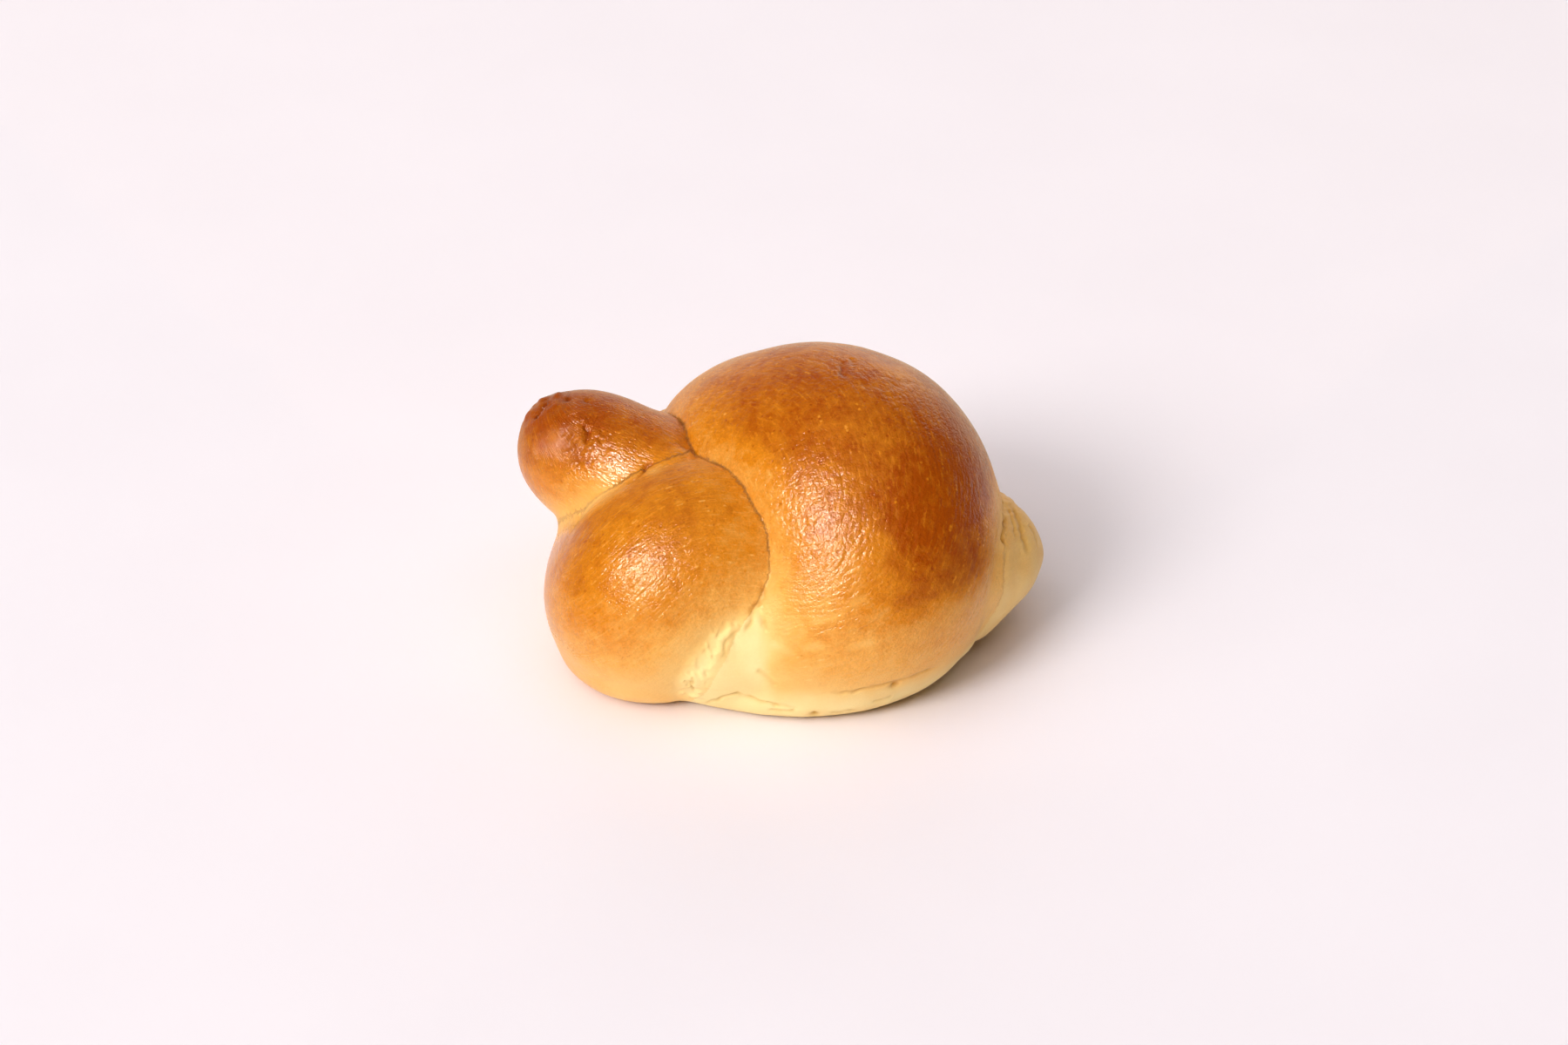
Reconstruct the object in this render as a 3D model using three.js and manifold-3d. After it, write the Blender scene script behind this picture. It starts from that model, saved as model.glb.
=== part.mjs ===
// A knot roll: one strand of enriched dough tied in a single overhand knot, proved and baked.
//
// The roll is the skin of that strand. The strand runs along a smooth curve through a few stations, each with the
// dough's half thickness there, and the skin is what a ball of that radius sweeps on its way along the curve. Where
// the strand passes over itself, two stretches of skin meet in a crease of the knot. The underside is flat, as the
// baking tray left it.
//
// Millimetres, +Z up, the shown side towards -Y. The origin is on the tray, under the middle of the roll.

import * as THREE from "three";
import { mergeVertices } from "three/addons/utils/BufferGeometryUtils.js";
import Module from "manifold-3d";

// The strand from its tail to its head: where the middle of the dough lies, and its half thickness there.
const STATIONS = [
  { name: "tail tip", at: [46, 3.5, 14.5], radius: 8.5 },
  { name: "tail", at: [36.5, -6, 15.5], radius: 16.5 },
  { name: "under the dome", at: [13, -12.5, 14], radius: 18 },
  { name: "loop, rising from under the dome", at: [-15.5, -17, 22], radius: 22.5 },
  { name: "loop, front", at: [-27.5, -20, 16], radius: 21 },
  { name: "loop, left end", at: [-30, 1, 13.5], radius: 16.5 },
  { name: "loop, under the head", at: [-22, 18.5, 15.5], radius: 17.5 },
  { name: "loop, back", at: [0, 24.5, 18.5], radius: 20 },
  { name: "dome, rising at the back", at: [-0.5, 12.5, 21.5], radius: 29 },
  { name: "dome, top", at: [13, -1.5, 26.5], radius: 32 },
  { name: "dome, front", at: [13.5, -17.5, 17.5], radius: 27 },
  { name: "tucked under the loop", at: [-11.5, -21, 9.5], radius: 16 },
  { name: "head, inside the knot", at: [-11.5, -3.5, 22.5], radius: 12.5 },
  { name: "head, coming out", at: [-23.5, -1.5, 28.5], radius: 15 },
  { name: "head", at: [-38, 6, 32.5], radius: 14.5 },
  { name: "head end", at: [-43.5, 6.5, 36.5], radius: 11 },
  { name: "pinched end of the strand", at: [-46, 10, 42], radius: 4 },
];

// Dough pressed together on the tray inside the loop, wholly within the roll.
const HEART = { at: [-15.5, -1.5, 6], radius: 12 };

// How wide a crease is rounded, and the places where the dough has grown together more softly.
const CREASE_ROUNDING = 3;
const SOFT_SPOTS = [
  { name: "tail running into the dome", at: [42, -21, 19], spread: 15, rounding: 8 },
  { name: "left end of the crease under the head", at: [-44, -6, 26], spread: 9, rounding: 5 },
  { name: "right end of the crease under the head", at: [-21, -8, 42], spread: 7, rounding: 4 },
];
const NEIGHBOUR_STATIONS = 2.3; // stretches closer than this along the strand have no crease between them

// How finely the skin is drawn.
const BALLS_PER_STATION = 24; // balls that stand for the sweep between two stations
const SKIN_DETAIL = 25; // subdivisions of the icosahedron that is moulded on the dough
const CORE = new THREE.Vector3(0, 0, 24); // a point inside the roll that sees all of its skin
const REACH = 120; // a sphere of this radius round the core holds the whole roll
const SKIN_TOLERANCE = 0.001;
const MOST_STEPS = 200;
const EVENING_PASSES = 30;
const SETTLING_STEPS = 4;

const CRUST = new THREE.MeshStandardMaterial({ color: 0xc27a33, roughness: 0.42, metalness: 0 });

const wasm = await Module();
wasm.setup();

// The balls that sweep the strand, each with its place along it. The heart has no place there.
function sweptBalls() {
  const last = STATIONS.length - 1;
  const path = new THREE.CatmullRomCurve3(STATIONS.map((s) => new THREE.Vector3(...s.at)), false, "catmullrom");
  const thickness = new THREE.CatmullRomCurve3(
    STATIONS.map((s) => new THREE.Vector3(s.radius, 0, 0)),
    false,
    "catmullrom",
  );
  const balls = [];
  for (let i = 0; i <= last * BALLS_PER_STATION; i++) {
    const t = i / (last * BALLS_PER_STATION);
    balls.push({ station: t * last, centre: path.getPoint(t), radius: thickness.getPoint(t).x });
  }
  balls.push({ station: Infinity, centre: new THREE.Vector3(...HEART.at), radius: HEART.radius });
  return balls;
}

// The width over which a crease is rounded at a point.
function roundingAt(point) {
  let rounding = CREASE_ROUNDING;
  for (const spot of SOFT_SPOTS) {
    const away = point.distanceTo(new THREE.Vector3(...spot.at)) / spot.spread;
    rounding += spot.rounding * Math.exp(-away * away);
  }
  return rounding;
}

// How far a point lies outside the skin, and which way is out. Near a crease, the nearest stretch of the strand and
// the nearest one that isn't its neighbour run into each other.
function skinAt(point, balls) {
  const gaps = balls.map((ball) => point.distanceTo(ball.centre) - ball.radius);
  const nearest = balls[gaps.indexOf(Math.min(...gaps))];
  const gap = Math.min(...gaps);
  let otherGap = Infinity;
  gaps.forEach((g, i) => {
    const isOther = Math.abs(balls[i].station - nearest.station) > NEIGHBOUR_STATIONS;
    if (isOther && g < otherGap) otherGap = g;
  });
  const rounding = roundingAt(point);
  const blend = Math.max(0, 1 - (otherGap - gap) / rounding);
  return {
    gap: gap - (rounding / 4) * blend ** 2,
    outward: point.clone().sub(nearest.centre).normalize(),
  };
}

// An icosahedron's skin of triangles, drawn in along the radii from outside until it lies on the dough.
function mouldedSkin(balls) {
  const ball = new THREE.IcosahedronGeometry(1, SKIN_DETAIL);
  const skin = withoutNormals(ball);
  moveCorners(skin, (corner) => {
    const inward = corner.clone().normalize().negate();
    corner.copy(CORE).addScaledVector(inward, -REACH);
    for (let step = 0; step < MOST_STEPS; step++) {
      const { gap } = skinAt(corner, balls);
      if (gap < SKIN_TOLERANCE) break;
      corner.addScaledVector(inward, gap);
    }
  });
  return skin;
}

// Evens out the triangles: each corner moves to the middle of its neighbours, and from there back on the skin.
function evenOut(skin, balls) {
  const neighbours = neighboursOf(skin);
  for (let pass = 0; pass < EVENING_PASSES; pass++) {
    const before = cornersOf(skin);
    moveCorners(skin, (corner, i) => {
      corner.set(0, 0, 0);
      neighbours[i].forEach((n) => corner.addScaledVector(before[n], 1 / neighbours[i].size));
      for (let step = 0; step < SETTLING_STEPS; step++) {
        const { gap, outward } = skinAt(corner, balls);
        corner.addScaledVector(outward, -gap);
      }
    });
  }
}

function cornersOf(geometry) {
  const position = geometry.getAttribute("position");
  return Array.from({ length: position.count }, (_, i) => new THREE.Vector3().fromBufferAttribute(position, i));
}

function moveCorners(geometry, move) {
  const position = geometry.getAttribute("position");
  cornersOf(geometry).forEach((corner, i) => {
    move(corner, i);
    position.setXYZ(i, corner.x, corner.y, corner.z);
  });
}

// For each corner, the corners that share an edge with it.
function neighboursOf(geometry) {
  const neighbours = cornersOf(geometry).map(() => new Set());
  const index = geometry.index.array;
  for (let i = 0; i < index.length; i += 3) {
    for (let side = 0; side < 3; side++) {
      const a = index[i + side];
      const b = index[i + ((side + 1) % 3)];
      neighbours[a].add(b);
      neighbours[b].add(a);
    }
  }
  return neighbours;
}

function withoutNormals(geometry) {
  geometry.deleteAttribute("normal");
  geometry.deleteAttribute("uv");
  return mergeVertices(geometry);
}

function solidOf(geometry) {
  return new wasm.Manifold(
    new wasm.Mesh({
      numProp: 3,
      vertProperties: geometry.getAttribute("position").array,
      triVerts: new Uint32Array(geometry.index.array),
    }),
  );
}

function geometryOf(solid) {
  const mesh = solid.getMesh();
  const geometry = new THREE.BufferGeometry();
  geometry.setAttribute("position", new THREE.BufferAttribute(mesh.vertProperties, 3));
  geometry.setIndex(new THREE.BufferAttribute(mesh.triVerts, 1));
  geometry.computeVertexNormals();
  return geometry;
}

// The strand's skin, cut flat where it lay on the tray.
function knottedDough() {
  const balls = sweptBalls();
  const skin = mouldedSkin(balls);
  evenOut(skin, balls);
  const belowTray = new THREE.BoxGeometry(2 * REACH, 2 * REACH, REACH).translate(0, 0, -REACH / 2);
  return geometryOf(solidOf(skin).subtract(solidOf(withoutNormals(belowTray))));
}

const crust = new THREE.Mesh(knottedDough(), CRUST);
crust.name = "knot_roll";

const roll = new THREE.Group();
roll.add(crust);

export default roll;
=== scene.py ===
"""Looks of the knot roll: a browned, egg-glazed crust with creases, wrinkles and pores, on a pale floor."""

import math
from collections import namedtuple

import bmesh
import bpy
import numpy as np
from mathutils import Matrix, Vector, noise


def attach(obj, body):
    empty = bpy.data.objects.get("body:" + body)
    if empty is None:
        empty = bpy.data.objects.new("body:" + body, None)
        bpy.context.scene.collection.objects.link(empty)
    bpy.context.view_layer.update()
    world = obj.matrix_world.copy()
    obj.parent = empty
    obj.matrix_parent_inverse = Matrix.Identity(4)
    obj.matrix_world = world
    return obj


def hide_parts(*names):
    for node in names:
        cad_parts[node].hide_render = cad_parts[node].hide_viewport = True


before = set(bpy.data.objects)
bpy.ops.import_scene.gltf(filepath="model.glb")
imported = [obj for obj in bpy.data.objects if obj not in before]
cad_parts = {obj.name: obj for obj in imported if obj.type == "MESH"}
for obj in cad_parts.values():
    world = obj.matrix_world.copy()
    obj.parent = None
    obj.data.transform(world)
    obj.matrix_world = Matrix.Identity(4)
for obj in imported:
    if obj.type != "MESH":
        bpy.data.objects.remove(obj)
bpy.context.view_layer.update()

# Lengths are in millimetres, with +Z up and the shown side towards -Y. Floor, cards and lights are in metres.
MM = 0.001

# The strand from its tail to its head: where the middle of the dough lies, and its half thickness there.
STATIONS = [
    ("tail tip", (46, 3.5, 14.5), 8.5),
    ("tail", (36.5, -6, 15.5), 16.5),
    ("under the dome", (13, -12.5, 14), 18),
    ("loop, rising from under the dome", (-15.5, -17, 22), 22.5),
    ("loop, front", (-27.5, -20, 16), 21),
    ("loop, left end", (-30, 1, 13.5), 16.5),
    ("loop, under the head", (-22, 18.5, 15.5), 17.5),
    ("loop, back", (0, 24.5, 18.5), 20),
    ("dome, rising at the back", (-0.5, 12.5, 21.5), 29),
    ("dome, top", (13, -1.5, 26.5), 32),
    ("dome, front", (13.5, -17.5, 17.5), 27),
    ("tucked under the loop", (-11.5, -21, 9.5), 16),
    ("head, inside the knot", (-11.5, -3.5, 22.5), 12.5),
    ("head, coming out", (-23.5, -1.5, 28.5), 15),
    ("head", (-38, 6, 32.5), 14.5),
    ("head end", (-43.5, 6.5, 36.5), 11),
    ("pinched end of the strand", (-46, 10, 42), 4),
]

# Dough pressed together on the tray inside the loop, wholly within the roll. It counts as part of the loop.
HEART_AT = (-15.5, -1.5, 6)
HEART_RADIUS = 12
HEART_STATION = 1000  # far from the strand's own, so that the heart has no neighbours

# The stretches of the strand, and where along it each but the last ends, in stations.
TAIL, LOOP, DOME, HEAD = range(4)
STRETCH_ENDS = [2.3, 7.3, 11.4]
LOOP_TURNS_INTO_DOME = (6.6, 8.0)  # at the back, where no crease parts the two
NEIGHBOUR_STATIONS = 2.3  # places closer than this have no crease between them
GRAIN_RADIUS = 22  # the grain is drawn as on a strand of this half thickness

# How wide a crease is rounded, and where two stretches have grown together more softly: place, spread,
# rounding, and the two stretches.
CREASE_ROUNDING = 0.6
SOFT_SPOTS = [
    ("tail running into the dome", (44, -16, 20), 9, 8, (TAIL, DOME)),
    ("left end of the crease under the head", (-44, -6, 26), 9, 5, (LOOP, HEAD)),
    ("right end of the crease under the head", (-20, -7, 42), 6, 5, (LOOP, HEAD)),
    ("dough torn at the foot of the loop", (-11, -39, 12), 10.5, 15, (LOOP, DOME)),
]

# Near a crease the dough is uneven, so that the crease wanders: how much, in lumps of what size, how far out,
# and how the lumps shift from one station to the next.
WANDER = 0.65
WANDER_SIZE = 7
WANDER_REACH = 4
WANDER_SHIFT = (0, 0, 11)

# On the left the dough spreads a little on the tray, on the right it is drawn in, and the tail hangs over.
FOOT_SPREAD_LEFT = 0.9
FOOT_SPREAD_RIGHT = -0.5
FOOT_SPREAD_OF_TAIL = -1.0
FOOT_TURNS = (0, 36)  # along X, from left to right
TAIL_FOOT_TURNS = 4  # how far from its crease the tail has a foot all its own
FOOT_HEIGHT = 9
FOOT_ROUNDING = 2.0

# How finely the crust is drawn
BALLS_PER_STATION = 32  # balls that stand for the sweep between two stations
SKIN_GRID = 0.68
CHUNK = 4000  # points worked on at a time
RELAX_PASSES = 3
SETTLE_STEPS = 2
LEAST_SLOPE = 0.2  # keeps the steps short where the ways out from two stretches point apart

# Faces with fine relief are split once more: how far from a crease, groove, bump or tear that goes.
FINE_BESIDE_CREASE = 1.2
FINE_ROUNDING = 2  # creases with more rounding have no fine relief
FINE_HEIGHT = 1  # nor has what lies lower than this
FINE_BESIDE_GROOVE = 1
FINE_GROOVE_WIDTHS = 1.5  # in half widths of the groove, on top of that
FINE_BUMP_RADII = 1.8
FINE_TORN_REACHES = 2

# Noise: each seed moves the pattern by this much. Masks below the least one count as 0.
NOISE_SHIFT = (17.3, 5.9, -11.7)
LEAST_MASK = 0.01

# Seeds of the kinds of noise. Each row of a table takes the next one.
WANDER_SEED = 3
PALE_EDGE_SEED = 7
LIP_SEED = 8
NOTCH_SEED = 9
WRINKLE_SEED = 20
RAG_SEED = 30
RAG_EDGE_SEED = 31
PLEAT_SEED = 33
GROOVE_WOBBLE_SEED = 40  # and three for each groove
GROOVE_DEPTH_SEED = 120

# Unevenness of the whole crust: height, size of the lumps, and seed.
UNEVENNESS = [(0.35, 19, 1), (0.10, 6, 2)]

# A low lip round the foot: how far it stands out, at what height, its reach, and the size of its lumps.
LIP = 0.5
LIP_HEIGHT = 3.5
LIP_REACH = 2.5
LIP_SIZE = 11
LIP_MEAN = 0.75
LIP_CHANGE = 0.5

# A narrow line along each sharp crease.
NOTCH_DEPTH = 0.7
NOTCH_HALF_WIDTH = 0.4
NOTCH_SIZE = 5
NOTCH_MEAN = 0.5
NOTCH_CHANGE = 0.7

# Grooves in the crust: the line each one follows, its depth and its half width.
GROOVES = [
    ("crack under the head",
     [(-32, -11.7, 39.3), (-30.4, -12.7, 40.6), (-28.1, -11, 41.2), (-27.8, -9.7, 41.4), (-25.1, -8.6, 42.6)],
     1.1, 0.6),
    ("crevice at the pinched end", [(-48.5, 7.7, 46.4), (-49.9, 5.5, 45.5), (-51.2, 4, 44.2)], 1.3, 0.55),
    ("groove beside the blister",
     [(-40.9, 0, 45.9), (-39.8, -1.3, 45), (-39.8, -2.5, 44.1), (-40.5, -4.2, 42.6)],
     0.7, 0.5),
    ("wrinkle of the head",
     [(-44.1, -4.6, 41), (-42.8, -4, 42.3), (-41.6, -3, 43.5), (-40.7, -2, 44.4)],
     0.45, 0.5),
    ("wrinkle of the head", [(-44.5, -3.7, 42.3), (-43.6, -3, 43.3), (-42.5, -1.9, 44.5)], 0.4, 0.5),
    ("left fold of the foot",
     [(-16, -37, 2.6), (-13.4, -39.4, 4.8), (-11.3, -40.9, 6.8), (-8.9, -41.3, 7.4), (-4.5, -41.2, 6),
      (-1, -41.6, 5.4), (4.5, -42.1, 5.3)],
     0.4, 0.4),
    ("right fold of the foot",
     [(9.6, -43.6, 9.2), (14.6, -43.3, 8.9), (18.4, -42.9, 9.8), (23.8, -41.5, 10.5), (28.8, -39, 10.8),
      (32.5, -36.3, 10.9)],
     0.45, 0.45),
    ("line on the lip of the foot", [(-2.8, -40.7, 3.8), (0.8, -41.2, 3.7), (3.5, -41.7, 4.3)], 0.3, 0.5),
    ("line on the lip of the foot", [(9.7, -41.1, 3), (12.8, -41, 3), (15.9, -40.5, 3.2)], 0.3, 0.5),
    ("line on the lip of the foot", [(18.5, -41.1, 5.2), (20.8, -40.4, 5.2), (23, -39.6, 5.2)], 0.3, 0.5),
    ("wrinkle in the pale foot", [(-4.8, -42.8, 14.1), (-2.7, -42.8, 12.8), (-0.6, -42.8, 10.1)], 0.3, 0.6),
    ("torn seam, upper part",
     [(-2.9, -34.9, 30.7), (-3.4, -36.3, 28.7), (-4.5, -37.1, 27.2), (-5.5, -38, 25.6), (-6, -39.1, 23.6),
      (-7.6, -40.3, 21.2)],
     0.5, 0.48),
    ("torn seam, hook",
     [(-7.8, -39.7, 22.4), (-9.5, -40.1, 21.7), (-10.6, -40.7, 20.5), (-11.1, -41.5, 18.8),
      (-11, -41.8, 17.8), (-12.2, -42.1, 17.1)],
     0.3, 0.38),
    ("torn seam, low part", [(-17.7, -41.9, 12.8), (-18.1, -41.3, 10.3), (-17.6, -39.8, 6.8)], 0.4, 0.32),
    ("edge of the flap by the torn seam",
     [(-4.8, -38.6, 26.5), (-3.8, -39.7, 24.7), (-2.2, -41.2, 22.1)],
     0.35, 0.6),
    ("inner line of the tail",
     [(46.4, -8.6, 29.1), (46.1, -12.8, 28.7), (45.8, -15.6, 27.8), (46.7, -16.1, 26)],
     0.7, 0.45),
    ("pleat of the tail",
     [(48.1, -2.5, 27.9), (49, -5.9, 27.2), (50, -8.4, 25.6), (50.9, -10.2, 23.6), (51.6, -12, 20.4)],
     0.45, 0.8),
    ("pleat at the rim of the tail", [(51.7, -5.2, 24.5), (53.2, -5.9, 21.9), (54, -7.4, 18.9)], 0.35, 0.5),
    ("short pleat of the tail", [(47.5, -6, 28.6), (48.3, -9.5, 27.2), (48.8, -12, 25)], 0.35, 0.5),
    ("crack on the dome",
     [(13, 5.5, 58.2), (12.6, 2.2, 58.5), (12.7, -0.2, 58.6), (13.2, -2.6, 58.6)],
     0.5, 0.45),
    ("short crack on the dome", [(14.8, 6.7, 57.8), (14.9, 2.4, 58.4)], 0.3, 0.45),
    ("wrinkle on the dome",
     [(13.7, -3.9, 58.4), (18.5, -4.6, 57.9), (23.9, -2.3, 56.6), (28.1, 3.5, 54.3)],
     0.18, 1.0),
]
GROOVE_REACH = 6  # in half widths
GROOVE_WOBBLE = 0.6
GROOVE_WOBBLE_SIZE = 2.2
GROOVE_TAPER = 0.15  # share of the length that runs out at each end
GROOVE_DEPTH_SIZE = 2.5
GROOVE_MEAN = 0.8  # of the groove's full depth
GROOVE_CHANGE = 0.5

# Dents and blisters: place, radius, height. Dents have a height below 0.
BUMPS = [
    ("blister", (-39, -4.6, 42.7), 1.0, 0.5),
    ("blister", (-37.6, -4, 43.5), 0.9, 0.45),
    ("blister", (-39.9, -5.5, 41.6), 0.9, 0.45),
    ("blister", (-41.3, -2.2, 44.2), 0.8, 0.5),
    ("dent between the blisters", (-41.9, -5.9, 39.9), 0.9, -0.45),
    ("pit by the pinched end", (-44.1, 6.7, 47.5), 0.7, -0.6),
    ("pit on the head", (-40.2, 6.1, 47.5), 0.7, -0.45),
    ("lump on the pinched end", (-46.4, 9.6, 46.7), 1.0, 0.6),
    ("lump on the pinched end", (-49.8, 9.5, 45), 1.1, 0.5),
    ("lump on the pinched end", (-52, 7, 43.2), 1.2, 0.5),
    ("pit in the foot", (23.3, -41.3, 9.2), 0.9, -0.8),
    ("pit in the foot", (7, -41.2, 3.1), 0.9, -0.7),
    ("lump on the lip of the foot", (21.8, -38.9, 3.3), 1.2, 0.4),
]

# Broad shaping that the strand's skin leaves out: place, radius, height.
SHAPING = [
    ("flat shoulder of the tail", (51, 4.5, 23), 8, -1.0),
    ("corner of the tail", (55, -2, 14), 4, 0.6),
    ("foot of the tail by the dome", (41, -19.5, 5), 4.5, 0.9),
    ("undercut of the tail", (47, -11, 7), 5, -1.2),
]

# Flattened patches: place, the way the patch faces, its radius, and how flat it is, from 0 to 1.
FLATTENED = [
    ("underside of the head, where it shines", (-34, -8.6, 41), (-0.23, -0.74, 0.64), 4.2, 0.65),
    ("bright side of the blister", (-39.2, -5, 42.4), (-0.23, -0.74, 0.64), 2.2, 1),
]
FLATTENED_LIMITS = (-0.8, 0.4)  # how far in and out the skin may move
FLATTENED_SLANT = 0.5  # least cosine between the ways that skin and patch are taken to face

# Patches of wrinkled crust: place, reach, size of the wrinkles, height.
WRINKLED = [
    ("pinched end of the strand", (-49, 7, 45), 6, 1.6, 0.4),
    ("blistered front of the head", (-40.5, -3.5, 43), 6, 1.2, 0.45),
]

# Where the loop's crust has torn from the dome and hangs in rags: the line through the rags, and their reach.
TORN_LINE = [(-9, -40.6, 23.5), (-12, -41.4, 21), (-13.5, -42.2, 18), (-16.5, -42.2, 14), (-18, -41.2, 10),
             (-17.8, -39.6, 6.2)]
TORN_REACH = 2.2
LEAST_TORN = 0.02  # no rags where the band along the line is fainter
RAG_SIZE = 2.4
RAG_EDGE_SIZE = 1.1
RAG_EDGE_SHARE = 0.5
RAG_STEEPNESS = 7
RAG_THICKNESS = 0.35
RAG_LIFT = 0.25

# Fine pleats along the tail, between which heights they rise, and how they are drawn out along it.
PLEAT = 0.3
PLEAT_SIZE = 1.5
PLEAT_HEIGHTS = (17, 26)
PLEAT_STRETCH = (0.2, 1, 1)

# The relief dies out towards the tray.
RELIEF_STARTS = (0, 2.5)
UNDERSIDE_HEIGHT = 0.5  # skin lower than this lies on the tray

# How brown the crust is by height: 0 is pale dough, 1 the deepest brown.
BROWNING = {
    TAIL: [(0, 0.10), (12, 0.16), (20, 0.25), (26, 0.36), (30, 0.46)],
    LOOP: [(2, 0.30), (6, 0.34), (10, 0.38), (14, 0.49), (18, 0.59), (23, 0.66), (29, 0.72), (35, 0.78),
           (42, 0.83)],
    DOME: [(0, 0.05), (5, 0.03), (8, 0.15), (11, 0.36), (14, 0.48), (18, 0.55), (23, 0.61), (29, 0.68),
           (35, 0.74), (41, 0.82), (47, 0.86), (52, 0.90), (57, 0.94)],
    HEAD: [(24, 0.58), (35, 0.80), (40, 0.88), (44, 0.95), (47, 1)],
}
UNDERSIDE_BROWNING = 0.55
UNDERSIDE_DEPTH = (-1, -6)  # from the strand's skin inwards, where it is cut off by the tray

# The left end of the loop and the right of the dome are browner: along X, and by height.
LEFT_END = (-30, -44)
LEFT_END_BROWNER = 0.08
RIGHT_OF_DOME = (14, 31)
RIGHT_OF_DOME_FOOT = (22, 30)
RIGHT_OF_DOME_TOP = (57, 44)
RIGHT_OF_DOME_BROWNER = 0.23

# The dome's dough beside the torn seam is pale: along X, by height, and the share of browning that is lost.
PALE_FLANK = (0, -5)
PALE_FLANK_TOP = (30, 24)
PALE_FLANK_LOSS = 0.9
TORN_LOSS = 0.7

# Along a crease the crust stays paler: the stretch, the one it meets, browning in the crease by height, and
# how far from the crease that goes.
PALE_CREASES = [
    (DOME, LOOP, [(0, 0.08), (6, 0.04), (12, 0.02), (20, 0.12), (28, 0.38), (36, 0.60), (48, 0.66)], 11),
    (LOOP, DOME, [(0, 0.22), (12, 0.12), (20, 0.18), (28, 0.48), (36, 0.66), (46, 0.78)], 15),
    (LOOP, HEAD, [(24, 0.40), (36, 0.36), (42, 0.76)], 9),
    (HEAD, LOOP, [(24, 0.38), (36, 0.46), (42, 0.76), (46, 0.90)], 11),
    (DOME, HEAD, [(40, 0.74)], 14),
    (HEAD, DOME, [(40, 0.88)], 14),
    (DOME, TAIL, [(0, 0.22), (12, 0.30), (20, 0.36), (24, 1)], 9),
    (DOME, TAIL, [(20, 0.36), (36, 0.46)], 10),
]
PALE_EDGE = 1.2  # how far the edge of the pale crust wavers, and in lumps of what size
PALE_EDGE_SIZE = 5

# Where the crust was scuffed and stayed paler: the two ends of each scuff.
SCUFFS = [
    ((6.9, -42.3, 26), (12.1, -42.3, 28.2)),
    ((7.6, -41.4, 29.4), (9.6, -40.8, 30.6)),
    ((14.6, -41.5, 30.2), (16.8, -41, 31.2)),
    ((20, -42, 27.6), (21.6, -41.5, 28.6)),
    ((-1, -41.9, 20.2), (1.7, -42.9, 19.2)),
    ((5, -43.6, 20.4), (8, -44, 21.6)),
    ((14, -44, 21), (18, -43.7, 22.2)),
]
SCUFF_HALF_WIDTH = 0.9
SCUFF_PALER = 0.12

# Spots that are browner or paler than what is round them: place, reach, and how much.
SPOTS = [
    ("pinched end of the strand", (-49, 7, 46), 4.5, 0.25),
    ("paler patch on the dome", (24, 2.3, 56.3), 3.5, -0.14),
    ("darker patch on the dome", (17.7, -0.6, 58.2), 2.5, 0.08),
    ("pale dough by the crack under the head", (-26, -12.4, 42.4), 2.2, -0.25),
]

# Broad mottling of the browning: how much, size of the patches, and seed.
MOTTLING = [(0.06, 9, 5), (0.05, 3.5, 6)]

# Colours
CRUST_COLOURS = [
    ("pale dough", 0.0, (0.93, 0.725, 0.33)),
    ("light gold", 0.25, (0.89, 0.536, 0.165)),
    ("golden brown", 0.5, (0.835, 0.384, 0.072)),
    ("brown", 0.75, (0.675, 0.211, 0.008)),
    ("deep brown", 1.0, (0.36, 0.061, 0.001)),
]
FLOOR_COLOURS = [
    ("a little darker", 0.3, (0.945, 0.865, 0.895)),
    ("a little lighter", 0.7, (0.965, 0.885, 0.915)),
]
# Painted shade in cracks, grooves and crease notches: their colour is darkened and turned olive, more so the
# deeper they are.
PAINTED_CRACK_SHADE_TINT = (0.6, 0.43, 0.15)  # cracks are darker and more olive than the crust beside them
PAINTED_CRACK_SHADE_DEPTH = 0.7  # in cracks this deep or deeper the tint is full
NOTCH_PAINTED_SHADE_SHARE = 0.5  # share of a notch's depth that counts for the tint

# Where the egg glaze lies thicker: place and reach.
GLAZE_POOLS = [
    ("underside of the head", (-34, -8.5, 41), 4.5),
    ("blister", (-39.2, -5, 42.5), 2.5),
]

# Marks in the crust's material: size or spacing, and how they are drawn out along the strand.
MOTTLE_SIZE = 2.4
PEBBLE_SIZE = 0.65
FINE_SIZE = 0.38
STROKE_SIZE = 0.5
STROKE_STRETCH = (0.3, 1, 1)
SCALE_SPACING = 0.75
SCALE_STRETCH = (0.6, 1, 1)
SPECKS = {"spacing": 1.7, "radius": 0.3, "share": 0.5}
SPECK_STRETCH = (0.7, 1, 1)
PORES = {"spacing": 1.9, "radius": 0.4, "share": 0.4}
DOT_MIDDLE = 0.4  # share of a dot's radius where it is full
NOISE_ROUGHNESS = 0.6
NOISE_SPAN = (0.3, 0.7)  # a noise node's values lie mostly between these
STROKE_SPAN = (0.55, 0.7)  # only the strongest strokes are paler

# How much browner or paler the marks are, and how much lighter or darker the painted shade of the fine relief
# makes them.
MOTTLE_TONE = 0.06
STROKE_PALER = 0.09
SPECK_PALER = 0.18
PORE_BROWNER = 0.10
# Painted shade of the fine relief: the same noises as in the bump make the colour lighter or darker.
FINE_PAINTED_SHADE = 0.08
PEBBLE_PAINTED_SHADE = 0.06

# Pale dough shows a small share of the marks, browned crust all of them: at what browning.
BAKED = (0.2, 0.65)
PALE_SHARE = 0.15

# How high the marks stand in the bump, as shares of its depth.
BUMP_SHARES = {"strokes": 0.35, "fine": 0.4, "pebbles": 0.7, "scales": 0.7, "specks": 0.15, "pores": -0.2}
BUMP_DEPTH = 0.18

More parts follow.
